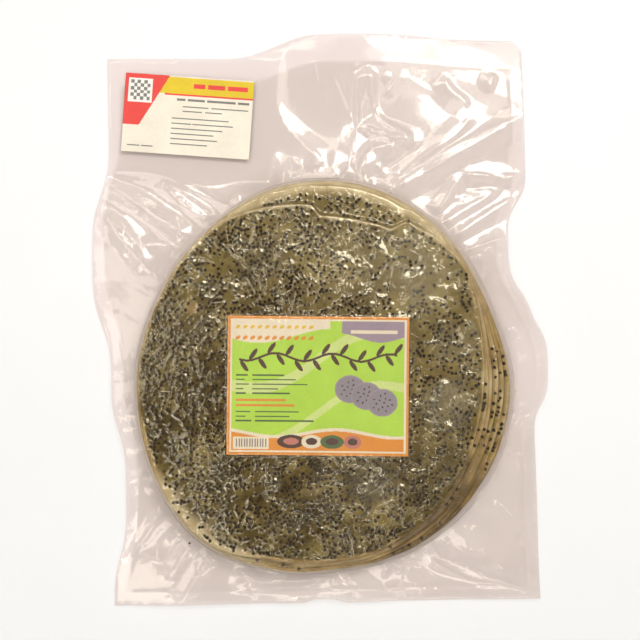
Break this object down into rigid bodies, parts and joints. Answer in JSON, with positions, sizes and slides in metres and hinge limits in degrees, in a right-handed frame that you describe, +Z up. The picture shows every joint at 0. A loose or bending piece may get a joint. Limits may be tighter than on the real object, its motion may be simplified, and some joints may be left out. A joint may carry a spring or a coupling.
{
  "type": "vacuum pack of sesame crackers",
  "caption": "Clear vacuum bag drawn tight round a flat stack of round sesame rice crackers, with a printed label inside and a small card on its creased margin.",
  "frame": {"origin": "middle of the pack's box, on the surface that it lies on", "axes": "+Y along the bag's long way, towards its upper hem; +Z up out of the label; +X to the right of the label as read"},
  "size_m": [0.3194, 0.401, 0.0242],
  "materials": {
    "clear_film": "clear glossy nylon and polythene film",
    "cracker": "dried rice sheet, translucent tan",
    "sesame": "black sesame seed",
    "label_paper": "coated paper, printed",
    "card_stock": "thin card, printed"
  },
  "bodies": {
    "root": {"bag": "clear_film", "label": "label_paper", "card": "card_stock"}
  },
  "joints": []
}
